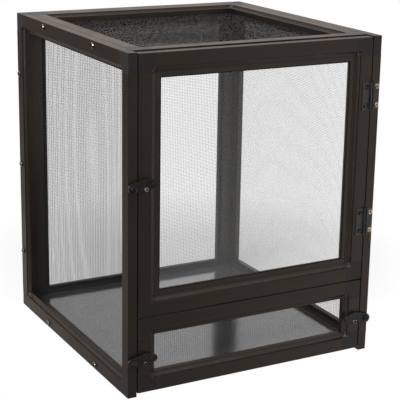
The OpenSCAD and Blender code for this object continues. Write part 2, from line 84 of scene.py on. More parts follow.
bl_info = {
    "name": "Mesh reptile cage",
    "version": (1, 0, 0),
    "blender": (4, 5, 0),
    "location": "3D View > Sidebar > Cage",
    "description": "Dresses the packed cage with its finishes, woven screens and a studio",
    "category": "Object",
}

MM = 0.001

# Nodes with a finish of their own, and the joint on whose axis the hinge pins lie
BEADS = "door_glazing_beads"
ROOF = "top_screen"
YELLOW_SCREWS = "hinge_post_screws"
CLEAN_SCREW = "door_keeper_screw"
DOOR_JOINT = "door_swing"

# Points closer than this are one point, and faces flatter than this are one face
WELD = 0.001 * MM
FLAT_ANGLE = math.radians(0.2)
# Edges sharper than this are rounded
SHARP_ANGLE = math.radians(38)
# A rounding takes at most this share of the narrower face beside its edge
ROUND_SHARE = 0.25
# Places closer than this count as one
SAME_PLACE = 0.05 * MM
# Middle share of a hinge knuckle that is black: its black coat, and painted shade where the leaves meet
KNUCKLE_SHARE = 0.6
# Stretches in which a bowed wire is drawn, and waves of bowing across a screen
WIRE_STRETCHES = 8
BOW_WAVES = 1.5

# How each finish mirrors: matt wire hardly, a polished sheet strongly, and anodising with a tint
MATT = {"Specular IOR Level": 0.12}
# The roof wire mirrors nothing, so its sheen is painted into its flecks.
UNMIRRORED = {"Specular IOR Level": 0.0}
GLOSSY = {"IOR": 3.2}
SATIN = {"Metallic": 0.9, "Specular IOR Level": 0.08, "Specular Tint": (0.95, 0.87, 0.82)}
MOULDED = {"Specular IOR Level": 0.36, "Specular Tint": (1.0, 0.9, 0.86)}
COATED = {"Specular IOR Level": 0.5}
BLACKENED = {"Specular IOR Level": 0.2}
PLATED = {"Metallic": 1.0}
CLEAR = {"Base Color": (0.985, 0.99, 0.99), "IOR": 1.49, "Transmission Weight": 1.0, "Metallic": 0.0}

# Scales of a finish's fine grain and of its clouds, its roughness in the clouds' darkest and palest
# places, and its bump's strength and depth
Grain = namedtuple("Grain", "fine clouds roughness bump depth")
BAR_GRAIN = Grain(2600.0, 14.0, (0.36, 0.46), 0.0, 0.0)
BEAD_GRAIN = Grain(1600.0, 30.0, (0.4, 0.5), 0.4, 0.02 * MM)
KEY_GRAIN = Grain(1500.0, 260.0, (0.42, 0.56), 0.4, 0.06 * MM)
HOOK_GRAIN = Grain(1300.0, 140.0, (0.3, 0.44), 0.4, 0.05 * MM)
WIRE_GRAIN = Grain(3000.0, 350.0, (0.38, 0.5), 0.4, 0.01 * MM)
RUBBER_GRAIN = Grain(900.0, 40.0, (0.6, 0.8), 0.4, 0.05 * MM)
SHEET_GRAIN = Grain(420.0, 11.0, (0.12, 0.18), 0.4, 0.005 * MM)
BLACK_GRAIN = Grain(1800.0, 160.0, (0.24, 0.4), 0.4, 0.02 * MM)
LEAF_GRAIN = Grain(1800.0, 90.0, (0.34, 0.46), 0.4, 0.02 * MM)
PLATING_GRAIN = Grain(2200.0, 420.0, (0.16, 0.32), 0.3, 0.02 * MM)
PANE_GRAIN = Grain(60.0, 9.0, (0.0, 0.004), 0.0, 0.0)

# Width of a finish's rubbed edges, scale of their patches, and how worn the least and the most
# rubbed places are; the pale edges are partly wear and partly painted glints
WearAndGlints = namedtuple("WearAndGlints", "width patches spread")
BAR_WEAR_AND_GLINTS = WearAndGlints(0.4 * MM, 90.0, (-0.4, 0.4))
KEY_WEAR_AND_GLINTS = WearAndGlints(0.8 * MM, 450.0, (-1.1, 1.2))
HOOK_WEAR_AND_GLINTS = WearAndGlints(0.8 * MM, 260.0, (-0.3, 0.9))
BLACK_WEAR_AND_GLINTS = WearAndGlints(0.8 * MM, 300.0, (-0.15, 1.2))
LEAF_WEAR_AND_GLINTS = WearAndGlints(0.5 * MM, 120.0, (-0.4, 0.5))

# How dull a plating is in its brightest and its dullest patches, whose bright patches are painted glints,
# and how far painted shade reaches into a recess
YELLOW_TARNISH_AND_GLINTS = (-0.4, 1.4)
CLEAN_TARNISH_AND_GLINTS = (-0.6, 0.8)
GREY_TARNISH_AND_GLINTS = (-0.1, 2.2)
SHADE_REACH = 1.6 * MM

# Scales of the drawn lines across and along a bar, and their bump's strength and depth
LINES_ACROSS = 1100.0
LINES_ALONG = 5.0
LINE_BUMP = 0.25
LINE_DEPTH = 0.02 * MM
# Scales of the roof screen's flecks, which are dust and painted sheen
FLECK_SCALES = (620.0, 180.0, 620.0)

# Darker and paler stretches of a finish, as shares of its own colour
BAR_SHADES = (0.86, 1.2)
BEAD_PALE = 1.25
BLACK_PALE = 1.5
LEAF_PALE = 1.3
HOOK_PALE = 1.6

WHITE = (1.0, 1.0, 1.0)
SENSOR_WIDTH = 36.0
# Place and side of each soft box
FRONT_BOX = ((-2.0, -1.2, 1.2), 1.2)
TOP_BOX = ((0.1, 0.2, 2.4), 1.8)
# The ground is whitened by this share round the middle of the cage's shadow, and fully further off
SHADOW_MIDDLE = (0.18, 0.33, 0.0)
SHADOW_REACH = (0.1, 0.42)
SHADOW_WHITE = 0.28
# The ground that the bars mirror gets lighter along a slant, and no lighter behind this limit
MIRROR_LIMIT = (9.0, 0.4, 9.0)
MIRROR_SLANT = (0.805, 0.593, 0.0)
MIRROR_REACH = (-0.497, 0.137)
MIRROR_DARK = (0.06, 0.06, 0.06)


def amount(name, description, default, **kind):
    """A number that a user can change."""
    return FloatProperty(name=name, description=description, default=default, **kind)


def length(name, description, default):
    """A size in metres that a user can change."""
    return amount(name, description, default, min=0.0, unit="LENGTH", precision=5)


def angle(name, description, degrees):
    """An angle that a user can change."""
    return amount(name, description, math.radians(degrees), unit="ROTATION")


def tone(name, description, default):
    """A colour that a user can change, in linear light."""
    return FloatVectorProperty(
        name=name, description=description, default=default, size=3, min=0.0, max=1.0, subtype="COLOR"
    )


class CageSizes(bpy.types.PropertyGroup):
    """Sizes of the wires and of the rounded edges"""

    wire_thickness: length("Wire", "Thickness of the upright screens' wires", 0.33 * MM)
    roof_wire: length("Roof wire", "Thickness of the roof screen's wires", 0.42 * MM)
    upright_pitch: length("Upright pitch", "Distance between two upright wires of a screen", 3.1 * MM)
    level_pitch: length("Level pitch", "Distance between two level wires of a screen", 2.6 * MM)
    wire_bow: length("Wire bow", "How far the stretched wires bow in their screen", 1.6 * MM)
    frame_edge: length("Frame edge", "Rounding of the bars' and the corner keys' long edges", 0.6 * MM)
    seam_edge: length("Seam edge", "Rounding where a bar and a corner key meet", 0.35 * MM)
    hook_edge: length("Hook edge", "Rounding of the hook latches' edges", 0.8 * MM)
    screw_edge: length("Screw edge", "Rounding of the screw heads' edges", 0.3 * MM)
    leaf_edge: length("Leaf edge", "Rounding of the hinge leaves' edges", 0.25 * MM)
    bead_edge: length("Bead edge", "Rounding of the glazing beads' edges", 0.3 * MM)
    rubber_edge: length("Rubber edge", "Rounding of the splines' edges", 0.4 * MM)
    sheet_edge: length("Sheet edge", "Rounding of the floor sheet's and the pane's edges", 0.25 * MM)


class CageTones(bpy.types.PropertyGroup):
    """Colours of the cage's finishes"""

    anodised: tone("Anodised", "Dark bronze-black of the bars", (0.05, 0.0415, 0.0345))
    # Paler edge tone: worn metal, and painted glints.
    bare_edge_and_glint: tone("Bare edge and glint", "Paler metal along the bars' edges, worn and with painted glints", (0.09, 0.08, 0.07))
    moulded: tone("Moulded", "Black plastic of the corner keys", (0.0072, 0.0063, 0.0058))
    moulded_pale: tone("Moulded, pale", "Paler clouds in the corner keys", (0.0115, 0.0103, 0.0096))
    # Pale edge tone of the keys: scuffs, and painted glints.
    moulded_scuff_and_glint: tone("Moulded, scuffed and glinting", "Scuffs and painted glints along the corner keys' edges", (0.16, 0.155, 0.15))
    wire: tone("Wire", "Dark coated screen wire", (0.003, 0.003, 0.003))
    wire_pale: tone("Wire, pale", "Paler flecks of screen wire", (0.03, 0.03, 0.032))
    # Partly dust and partly painted sheen on wire that mirrors nothing.
    roof_dust_and_sheen: tone("Roof dust and sheen", "Dust flecks and painted sheen on the roof screen's wires", (0.105, 0.096, 0.092))
    rubber: tone("Rubber", "Black rubber of the splines", (0.005, 0.005, 0.005))
    rubber_pale: tone("Rubber, pale", "Paler bloom on the rubber", (0.012, 0.012, 0.012))
    sheet: tone("Floor sheet", "Dark grey of the floor sheet", (0.064, 0.064, 0.07))
    sheet_pale: tone("Floor sheet, pale", "Paler clouds in the floor sheet", (0.085, 0.084, 0.09))
    # Platings: their bright patches are painted glints, and the recess colour below is painted shade.
    brass: tone("Brass", "Yellow plating of the hinges' post screws", (0.8, 0.62, 0.42))
    brass_dull: tone("Brass, dull", "Tarnished stretches of the yellow plating", (0.09, 0.06, 0.035))
    zinc: tone("Zinc", "Bright plating of the other screws, whose patches are painted glints", (0.75, 0.72, 0.64))
    zinc_dull: tone("Zinc, dull", "Dark stretches of the other screws' plating", (0.11, 0.1, 0.085))
    recess_shade: tone("Recess shade", "Painted shade in the screws' recesses and under their heads", (0.012, 0.01, 0.008))
    leaf: tone("Hinge leaf", "Bronze-black coat of the hinge leaves", (0.022, 0.02, 0.019))
    steel: tone("Black steel", "Black coat of the knuckles and the dark screws", (0.004, 0.004, 0.004))
    # Pale edge tone of the black coat: wear, and painted glints.
    steel_worn_and_glint: tone("Black steel, worn and glinting", "Worn edges of the black coat, with painted glints", (0.26, 0.25, 0.24))
    hook: tone("Hook", "Black plastic of the hook latches", (0.006, 0.0056, 0.0054))
    # Pale edge tone of the hooks: rubbing, and painted glints.
    hook_worn_and_glint: tone("Hook, pale", "Paler rubbed edges of the hook latches, with painted glints", (0.12, 0.118, 0.115))


class CageStage(bpy.types.PropertyGroup):
    """Camera, lamps and ground"""

    azimuth: angle("Azimuth", "Turn of the camera round the cage", -29.0)
    elevation: angle("Elevation", "Height of the camera above the horizon", 15.36)
    roll: angle("Roll", "Turn of the camera about its own axis", 1.09)
    distance: length("Distance", "Distance of the camera from the cage's middle", 2.028)
    aim_right: length("Aim, right", "How far right of the origin the camera aims", 35.0 * MM)
    aim_up: length("Aim, up", "How far above the origin the camera aims", 237.9 * MM)
    focal: amount("Focal length", "Focal length in image widths", 3.107)
    shift_x: amount("Shift X", "Sideways shift of the frame", -0.025)
    shift_y: amount("Shift Y", "Upward shift of the frame", -0.05)
    ground_size: length("Ground", "Side of the ground sheet", 12.0)
    fill: amount("Fill", "Strength of the light from all round", 0.3)
    front_power: amount("Front", "Power of the front soft box", 38.0, unit="POWER")
    top_power: amount("Top", "Power of the overhead soft box", 20.0, unit="POWER")


# Shader nodes


def set_inputs(node, values):
    """Sets constants on a node's own sockets."""
    for name, value in values.items():
        socket = node.inputs[name]
        is_color = socket.type == "RGBA" and len(value) == 3
        socket.default_value = (*value, 1.0) if is_color else value


def add_node(tree, kind, values=None, **settings):
    """Adds a node with its settings and the constants on its sockets."""
    node = tree.nodes.new(kind)
    for name, value in settings.items():
        setattr(node, name, value)
    set_inputs(node, values or {})
    return node


def new_group(name, inputs, outputs):
    """A shader node group with named float, vector and colour sockets."""
    group = bpy.data.node_groups.new(name, "ShaderNodeTree")
    for socket_name, kind in inputs:
        group.interface.new_socket(socket_name, in_out="INPUT", socket_type=kind)
    for socket_name, kind in outputs:
        group.interface.new_socket(socket_name, in_out="OUTPUT", socket_type=kind)
    return group, group.nodes.new("NodeGroupInput"), group.nodes.new("NodeGroupOutput")


def place_effect(tree, name, values):
    """Places a shared effect in a material and sets its inputs."""
    node = tree.nodes.new("ShaderNodeGroup")
    node.node_tree = bpy.data.node_groups[name]
    set_inputs(node, values)
    return node


def remap(tree, value, low, high):
    """Spreads a value from 0 to 1 over a range."""
    node = add_node(tree, "ShaderNodeMapRange", {"To Min": low, "To Max": high})
    tree.links.new(value, node.inputs["Value"])
    return node.outputs["Result"]


def combine(tree, operation, first, second, use_clamp=False):
    """Combines two values into one."""
    node = add_node(tree, "ShaderNodeMath", None, operation=operation, use_clamp=use_clamp)
    tree.links.new(first, node.inputs[0])
    tree.links.new(second, node.inputs[1])
    return node.outputs["Value"]


def mix_tones(tree, mask, low, high):
    """Mixes two colours, each one fixed or another node's, by a mask."""
    node = add_node(tree, "ShaderNodeMix", None, data_type="RGBA")
    sockets = [s for s in node.inputs if s.type == "RGBA"]
    for socket, colour in zip(sockets, (low, high)):
        if isinstance(colour, bpy.types.NodeSocket):
            tree.links.new(colour, socket)
        else:
            socket.default_value = (*colour, 1.0)
    tree.links.new(mask, node.inputs["Factor"])
    return next(s for s in node.outputs if s.type == "RGBA")


def mix_shaders(tree, share, low, high):
    """Mixes two shaders by a share."""
    node = add_node(tree, "ShaderNodeMixShader")
    tree.links.new(share, node.inputs["Fac"])
    tree.links.new(low, node.inputs[1])
    tree.links.new(high, node.inputs[2])
    return node.outputs["Shader"]


def add_bump(tree, height, strength, distance):
    """Turns a height into a normal."""
    node = add_node(tree, "ShaderNodeBump", {"Strength": strength, "Distance": distance})
    tree.links.new(height, node.inputs["Height"])
    return node.outputs["Normal"]


def add_seen_rays(tree, *kinds):
    """1 for the kinds of ray named, which show the background."""
    path = add_node(tree, "ShaderNodeLightPath")
    seen = path.outputs[kinds[0]]
    for kind in kinds[1:]:
        seen = combine(tree, "MAXIMUM", seen, path.outputs[kind])
    return seen


def make_drawn_lines():
    """Fine lines that the die leaves along an extruded bar."""
    group, given, result = new_group(
        "Drawn Lines",
        [("Along", "NodeSocketVector")],
        [("Height", "NodeSocketFloat"), ("Mask", "NodeSocketFloat")],
    )
    place = add_node(group, "ShaderNodeTexCoord")
    stretch = add_node(group, "ShaderNodeVectorMath", None, operation="MULTIPLY")
    fine = add_node(group, "ShaderNodeTexNoise", {"Scale": 1.0, "Detail": 2.0})
    broad = add_node(group, "ShaderNodeTexNoise", {"Scale": 0.16, "Detail": 3.0})
    group.links.new(place.outputs["Object"], stretch.inputs[0])
    group.links.new(given.outputs["Along"], stretch.inputs[1])
    group.links.new(stretch.outputs["Vector"], fine.inputs["Vector"])
    group.links.new(stretch.outputs["Vector"], broad.inputs["Vector"])
    group.links.new(fine.outputs["Fac"], result.inputs["Height"])
    group.links.new(broad.outputs["Fac"], result.inputs["Mask"])


def make_grain():
    """Fine grain of a moulded, coated or rubber surface, with broad clouds."""
    group, given, result = new_group(
        "Fine Grain",
        [("Scale", "NodeSocketFloat"), ("Cloud Scale", "NodeSocketFloat")],
        [("Height", "NodeSocketFloat"), ("Cloud", "NodeSocketFloat")],
    )
    place = add_node(group, "ShaderNodeTexCoord")
    fine = add_node(group, "ShaderNodeTexNoise", {"Detail": 2.0})
    cloud = add_node(group, "ShaderNodeTexNoise", {"Detail": 4.0, "Roughness": 0.6})
    spread = add_node(group, "ShaderNodeMapRange", {"From Min": 0.3, "From Max": 0.7})
    for noise, scale in ((fine, "Scale"), (cloud, "Cloud Scale")):
        group.links.new(place.outputs["Object"], noise.inputs["Vector"])
        group.links.new(given.outputs[scale], noise.inputs["Scale"])
    group.links.new(cloud.outputs["Fac"], spread.inputs["Value"])
    group.links.new(fine.outputs["Fac"], result.inputs["Height"])
    group.links.new(spread.outputs["Result"], result.inputs["Cloud"])


def make_worn_edges_and_glints():
    """Mask of the edges that hands and tools rub, broken up by noise; it also places painted glints along
    the edges.
    """
    group, given, result = new_group(
        "Worn Edges And Glints",
        [("Width", "NodeSocketFloat"), ("Patch Scale", "NodeSocketFloat")],
        [("Mask", "NodeSocketFloat")],
    )
    place = add_node(group, "ShaderNodeTexCoord")
    face = add_node(group, "ShaderNodeNewGeometry")
    rounded = add_node(group, "ShaderNodeBevel", None, samples=4)
    lean = add_node(group, "ShaderNodeVectorMath", None, operation="DOT_PRODUCT")
    edge = add_node(group, "ShaderNodeMapRange", {"From Min": 0.995, "From Max": 0.85})
    patch = add_node(group, "ShaderNodeTexNoise", {"Detail": 3.0})
    patch_range = add_node(group, "ShaderNodeMapRange", {"From Min": 0.4, "From Max": 0.65})
    group.links.new(given.outputs["Width"], rounded.inputs["Radius"])
    group.links.new(rounded.outputs["Normal"], lean.inputs[0])
    group.links.new(face.outputs["True Normal"], lean.inputs[1])
    group.links.new(lean.outputs["Value"], edge.inputs["Value"])
    group.links.new(place.outputs["Object"], patch.inputs["Vector"])
    group.links.new(given.outputs["Patch Scale"], patch.inputs["Scale"])
    group.links.new(patch.outputs["Fac"], patch_range.inputs["Value"])
    both = combine(group, "MULTIPLY", edge.outputs["Result"], patch_range.outputs["Result"])
    group.links.new(both, result.inputs["Mask"])


def make_recess_shade():
    """Mask of painted shade in a screw's recess and under its head, found by ambient occlusion."""
    group, given, result = new_group(
        "Recess Shade", [("Reach", "NodeSocketFloat")], [("Mask", "NodeSocketFloat")]
    )
    cover = add_node(group, "ShaderNodeAmbientOcclusion", None, samples=8, only_local=True)
    spread = add_node(group, "ShaderNodeMapRange", {"From Min": 0.92, "From Max": 0.6})
    group.links.new(given.outputs["Reach"], cover.inputs["Distance"])
    group.links.new(cover.outputs["AO"], spread.inputs["Value"])
    group.links.new(spread.outputs["Result"], result.inputs["Mask"])


# Finishes


def scaled(colour, share):
    """A colour made darker or paler."""
    return [share * channel for channel in colour]


def new_material(name, values):
    """A material with a Principled shader whose constants sit on its own sockets."""
    material = bpy.data.materials.new(name)
    material.use_nodes = True
    shader = material.node_tree.nodes["Principled BSDF"]
    set_inputs(shader, values)
    return material, material.node_tree, shader


def place_grain(tree, shader, grain):
    """Places a finish's grain, which sets its roughness and bump, and gives back its clouds."""
    effect = place_effect(tree, "Fine Grain", {"Scale": grain.fine, "Cloud Scale": grain.clouds})
    clouds = effect.outputs["Cloud"]
    tree.links.new(remap(tree, clouds, *grain.roughness), shader.inputs["Roughness"])
    if grain.bump > 0:
        normal = add_bump(tree, effect.outputs["Height"], grain.bump, grain.depth)
        tree.links.new(normal, shader.inputs["Normal"])
    return clouds


def place_wear_and_glints(tree, wear_and_glints):
    """Places a finish's rubbed edges, and gives back how worn they are, which is also where glints are
    painted.
    """
    effect = place_effect(tree, "Worn Edges And Glints", {"Width": wear_and_glints.width, "Patch Scale": wear_and_glints.patches})
    return remap(tree, effect.outputs["Mask"], *wear_and_glints.spread)


def make_anodised(run_axis, tones):
    """Satin dark anodised aluminium with its drawn lines along one axis."""
    material, tree, shader = new_material(f"Anodised bar {'XYZ'[run_axis]}", SATIN)
    stretch = [LINES_ACROSS] * 3
    stretch[run_axis] = LINES_ALONG
    lines = place_effect(tree, "Drawn Lines", {"Along": stretch})
    darker, paler = [scaled(tones.anodised, share) for share in BAR_SHADES]
    body = mix_tones(tree, lines.outputs["Mask"], darker, paler)
    # Paler edges: worn metal, and painted glints.
    colour = mix_tones(tree, place_wear_and_glints(tree, BAR_WEAR_AND_GLINTS), body, tones.bare_edge_and_glint)
    tree.links.new(colour, shader.inputs["Base Color"])
    place_grain(tree, shader, BAR_GRAIN)
    normal = add_bump(tree, lines.outputs["Height"], LINE_BUMP, LINE_DEPTH)
    tree.links.new(normal, shader.inputs["Normal"])
    return material


def make_grained(name, dark, pale, grain, mirroring, wear_and_glints=None, worn_and_glint_tone=None):
    """A grained material: two tones in clouds, a fine bump and, where given, worn edges with painted
    glints.
    """
    material, tree, shader = new_material(name, mirroring)
    colour = mix_tones(tree, place_grain(tree, shader, grain), dark, pale)
    if wear_and_glints is not None:
        # Paler edges: wear, and painted glints.
        colour = mix_tones(tree, place_wear_and_glints(tree, wear_and_glints), colour, worn_and_glint_tone)
    tree.links.new(colour, shader.inputs["Base Color"])
    return material


def make_plated(name, bright, dull, recess_shade_tone, tarnish_and_glints):
    """Plated metal, dull in patches with painted glints in the bright patches between, and with painted
    shade in its recesses.
    """
    material, tree, shader = new_material(name, PLATED)
    # Painted glints: bright plating in random patches, dull tarnish between them.
    dullness_and_glints = remap(tree, place_grain(tree, shader, PLATING_GRAIN), *tarnish_and_glints)
    plating = mix_tones(tree, dullness_and_glints, bright, dull)
    # Painted shade: the colour darkens where ambient occlusion finds a recess or the space under a head.
    recess_shade = place_effect(tree, "Recess Shade", {"Reach": SHADE_REACH})
    soiled = mix_tones(tree, recess_shade.outputs["Mask"], plating, recess_shade_tone)
    tree.links.new(soiled, shader.inputs["Base Color"])
    return material


def make_dust_and_sheen_wire(tones):
    """Dark screen wire that mirrors nothing, with pale flecks along the wires from front to back: dust
    and painted sheen.
    """
    material, tree, shader = new_material("Dust and sheen wire", UNMIRRORED)
    flecks = place_effect(tree, "Drawn Lines", {"Along": FLECK_SCALES})
    sharp = add_node(tree, "ShaderNodeMapRange", {"From Min": 0.42, "From Max": 0.58})
    tree.links.new(flecks.outputs["Height"], sharp.inputs["Value"])
    # Painted sheen: pale flecks stand in for the light the wire does not mirror.
    colour = mix_tones(tree, sharp.outputs["Result"], tones.wire, tones.roof_dust_and_sheen)
    tree.links.new(colour, shader.inputs["Base Color"])
    place_grain(tree, shader, WIRE_GRAIN)
    return material


def make_pane():
    """Clear acrylic with a faint uneven polish."""
    material, tree, shader = new_material("Clear acrylic", CLEAR)
    place_grain(tree, shader, PANE_GRAIN)
    return material


def add_white_share(tree, place):
    """How far the ground is plain white to the rays that show the background."""
    near, far = SHADOW_REACH
    away = add_node(tree, "ShaderNodeVectorMath", {1: SHADOW_MIDDLE}, operation="DISTANCE")
    whiteness = add_node(
        tree,
        "ShaderNodeMapRange",
        {"From Min": near, "From Max": far, "To Min": SHADOW_WHITE, "To Max": 1.0},
    )
    tree.links.new(place, away.inputs[0])
    tree.links.new(away.outputs["Value"], whiteness.inputs["Value"])
    seen = add_seen_rays(tree, "Is Camera Ray", "Is Transmission Ray")
    return combine(tree, "MULTIPLY", whiteness.outputs["Result"], seen)


def add_mirrored_tone(tree, place):
    """Colour of the ground that the bars mirror, dark at the front left and white at the right."""
    near, far = MIRROR_REACH
    limit = add_node(tree, "ShaderNodeVectorMath", {1: MIRROR_LIMIT}, operation="MINIMUM")
    slant = add_node(tree, "ShaderNodeVectorMath", {1: MIRROR_SLANT}, operation="DOT_PRODUCT")
    aside = add_node(tree, "ShaderNodeMapRange", {"From Min": near, "From Max": far})
    tree.links.new(place, limit.inputs[0])
    tree.links.new(limit.outputs["Vector"], slant.inputs[0])
    tree.links.new(slant.outputs["Value"], aside.inputs["Value"])
    return mix_tones(tree, aside.outputs["Result"], MIRROR_DARK, WHITE)


def make_ground():
    """Pale ground with the cage's shadow, white further off, and graded where the bars mirror it."""
    material, tree, shader = new_material(
        "Pale ground", {"Base Color": (0.93, 0.93, 0.93), "Roughness": 0.9, "Specular IOR Level": 0.0}
    )
    place = add_node(tree, "ShaderNodeTexCoord").outputs["Object"]
    white = add_node(tree, "ShaderNodeEmission", {"Color": WHITE, "Strength": 1.0})
    mirrored = add_node(tree, "ShaderNodeEmission", {"Strength": 1.0})
    tree.links.new(add_mirrored_tone(tree, place), mirrored.inputs["Color"])
    ray = add_node(tree, "ShaderNodeLightPath").outputs
    is_mirrored = combine(
        tree, "SUBTRACT", ray["Is Glossy Ray"], ray["Is Transmission Ray"], use_clamp=True
    )
    white_share = add_white_share(tree, place)
    seen = mix_shaders(tree, white_share, shader.outputs["BSDF"], white.outputs["Emission"])
    surface = mix_shaders(tree, is_mirrored, seen, mirrored.outputs["Emission"])
    tree.links.new(surface, tree.nodes["Material Output"].inputs["Surface"])
    return material


# Pieces


def nodes_in(slot):
    """Names of the CAD nodes that take one of the record's material slots."""
    names = [part["node"] for part in frame["record"]["subparts"] if part["material_slot"] == slot]
    if not names:
        raise ValueError(f"No CAD node takes the material slot {slot}")
    return names


def long_axis(node):
    """Axis along which a node is longest."""
    low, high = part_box(node)
    spans = list(high - low)
    return spans.index(max(spans))


def finish_piece(name, mesh, node, material):
    """Links a piece, gives it its material, and puts it in its CAD node's place."""
    piece = bpy.data.objects.new(name, mesh)
    bpy.context.scene.collection.objects.link(piece)
    mesh.materials.append(material)
    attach(piece, frame["nodes"][node]["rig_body"])
    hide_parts(node)
    return piece


def seam_planes(panel):
    """Places, axis by axis, where the ends of one panel's bars meet its corner keys."""
    planes = ([], [], [])
    for node in nodes_in("dark_frame"):
        if node.startswith(f"{panel}_") and node != BEADS:
            axis = long_axis(node)
            planes[axis].extend(corner[axis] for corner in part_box(node))
    return planes


def is_seam(face, planes):
    """True for a face that lies where a bar and a corner key meet."""
    axis = max(range(3), key=lambda i: abs(face.normal[i]))
    level = face.calc_center_median()[axis]
    return any(abs(level - place) < SAME_PLACE for place in planes[axis])


def reach_from(face, border):
    """Greatest distance of a face's corners from the line of one of its edges."""
    start = border.verts[0].co
    along = (border.verts[1].co - start).normalized()
    arms = [corner.co - start for corner in face.verts]
    return max((arm - along * along.dot(arm)).length for arm in arms)


def weigh_edges(shape, planes, edge, seam_edge):
    """Sets how far each outer edge of a bar or a corner key is rounded."""
    weights = shape.edges.layers.float.new("bevel_weight_edge")
    for border in shape.edges:
        if not border.is_convex or border.calc_face_angle() < SHARP_ANGLE:
            continue
        reaches = [reach_from(face, border) for face in border.link_faces]
        room = ROUND_SHARE * min(border.calc_length(), *reaches)
        in_seam = any(is_seam(face, planes) for face in border.link_faces)
        border[weights] = min(seam_edge if in_seam else edge, room) / edge


def rounded_piece(node, material, edge, segments=2, seam_edge=None):
    """A copy of a CAD node with flat faces joined and edges rounded, less so in its panel's seams."""
    shape = bmesh.new()
    shape.from_mesh(frame["nodes"][node].data)
    bmesh.ops.remove_doubles(shape, verts=shape.verts, dist=WELD)
    bmesh.ops.dissolve_limit(shape, angle_limit=FLAT_ANGLE, verts=shape.verts, edges=shape.edges)
    if seam_edge is not None:
        weigh_edges(shape, seam_planes(node.split("_")[0]), edge, seam_edge)
    mesh = bpy.data.meshes.new(f"{node}_piece")
    shape.to_mesh(mesh)
    shape.free()
    mesh.attributes.remove(mesh.attributes["custom_normal"])
    mesh.shade_smooth()
    piece = finish_piece(f"{node}_piece", mesh, node, material)
    bevel = piece.modifiers.new("Rounded edges", "BEVEL")
    bevel.width = edge
    bevel.segments = segments
    bevel.limit_method = "ANGLE" if seam_edge is None else "WEIGHT"
    bevel.angle_limit = SHARP_ANGLE
    bevel.harden_normals = True
    return piece


def add_wires(shape, low, high, run, step, depth, level, thickness, pitch, bow):
    """Adds bowed wires along one axis, spaced along another, at one level of the third."""
    radius = thickness / 2
    section = ((radius, 0.0), (0.0, radius), (-radius, 0.0), (0.0, -radius))
    count = int((high[step] - low[step] - thickness) / pitch)
    first = (low[step] + high[step] - count * pitch) / 2
    for i in range(count + 1):
        sway = bow * math.sin(2 * math.pi * BOW_WAVES * i / count)
        rings = []
        for k in range(WIRE_STRETCHES + 1):
            share = k / WIRE_STRETCHES
            ring = []
            for side, rise in section:
                point = [0.0, 0.0, 0.0]
                point[run] = low[run] + share * (high[run] - low[run])
                point[step] = first + i * pitch + sway * math.sin(math.pi * share) + side
                point[depth] = level + rise
                ring.append(shape.verts.new(point))
            rings.append(ring)
        for ring, following in zip(rings, rings[1:]):
            for k in range(len(section)):
                shape.faces.new((ring[k], ring[k - 1], following[k - 1], following[k]))
        shape.faces.new(rings[0])
        shape.faces.new(rings[-1])


def wire_screen(node, material, thickness, sizes):
    """A screen of wires that cross in two touching layers, inside its CAD node's box."""
    low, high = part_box(node)
    spans = list(high - low)
    depth = spans.index(min(spans))
    first, second = [axis for axis in range(3) if axis != depth]
    middle = (low[depth] + high[depth]) / 2
    shape = bmesh.new()
    layers = (
        (first, second, middle - thickness / 2, sizes.level_pitch),
        (second, first, middle + thickness / 2, sizes.upright_pitch),
    )
    for run, step, level, pitch in layers:
        add_wires(shape, low, high, run, step, depth, level, thickness, pitch, sizes.wire_bow)
    bmesh.ops.recalc_face_normals(shape, faces=shape.faces)
    mesh = bpy.data.meshes.new(f"{node}_wires")
    shape.to_mesh(mesh)
    shape.free()
    mesh.shade_smooth()
    finish_piece(f"{node}_wires", mesh, node, material)


def blacken_and_shade_knuckles(leaves, node, finish):
    """Gives the hinge leaves' knuckles, the faces round the pins' axis, a finish of their own in their
    middle: a black coat and painted shade where the leaves meet.
    """
    pin = next(joint for joint in frame["joints"] if joint["name"] == DOOR_JOINT)["pos_m"]
    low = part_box(node)[0]
    radius = pin[1] - low.y + SAME_PLACE
    leaves.data.materials.append(finish)
    for face in leaves.data.polygons:
        across = abs(face.center.x - pin[0])
        # Painted shade: only the knuckle's middle is blackened, as the shade between the leaves.
        if across < KNUCKLE_SHARE * radius and math.hypot(across, face.center.y - pin[1]) < radius:
            face.material_index = 1


class CAGE_OT_effects(bpy.types.Operator):
    """Make the shader node groups that several finishes share"""

    bl_idname = "cage.effects"
    bl_label = "Shared effects"

    def execute(self, context):
        make_drawn_lines()
        make_grain()
        make_worn_edges_and_glints()
        make_recess_shade()
        return {"FINISHED"}


class CAGE_OT_bars(bpy.types.Operator):
    """Round the extruded bars' edges and anodise them"""

    bl_idname = "cage.bars"
    bl_label = "Bars"

    def execute(self, context):
        sizes, tones = context.scene.cage_sizes, context.scene.cage_tones
        finishes = [make_anodised(axis, tones) for axis in range(3)]
        for node in nodes_in("dark_frame"):
            if node != BEADS:
                finish = finishes[long_axis(node)]
                rounded_piece(node, finish, sizes.frame_edge, seam_edge=sizes.seam_edge)
        return {"FINISHED"}


class CAGE_OT_corner_keys(bpy.types.Operator):
    """Round the corner keys' edges and give them their moulded grain"""

    bl_idname = "cage.corner_keys"
    bl_label = "Corner keys"

    def execute(self, context):
        sizes, tones = context.scene.cage_sizes, context.scene.cage_tones
        finish = make_grained(
            "Moulded key",
            tones.moulded,
            tones.moulded_pale,
            KEY_GRAIN,
            MOULDED,
            KEY_WEAR_AND_GLINTS,
            tones.moulded_scuff_and_glint,
        )
        for node in nodes_in("corner_plastic"):
            rounded_piece(node, finish, sizes.frame_edge, seam_edge=sizes.seam_edge)
        return {"FINISHED"}


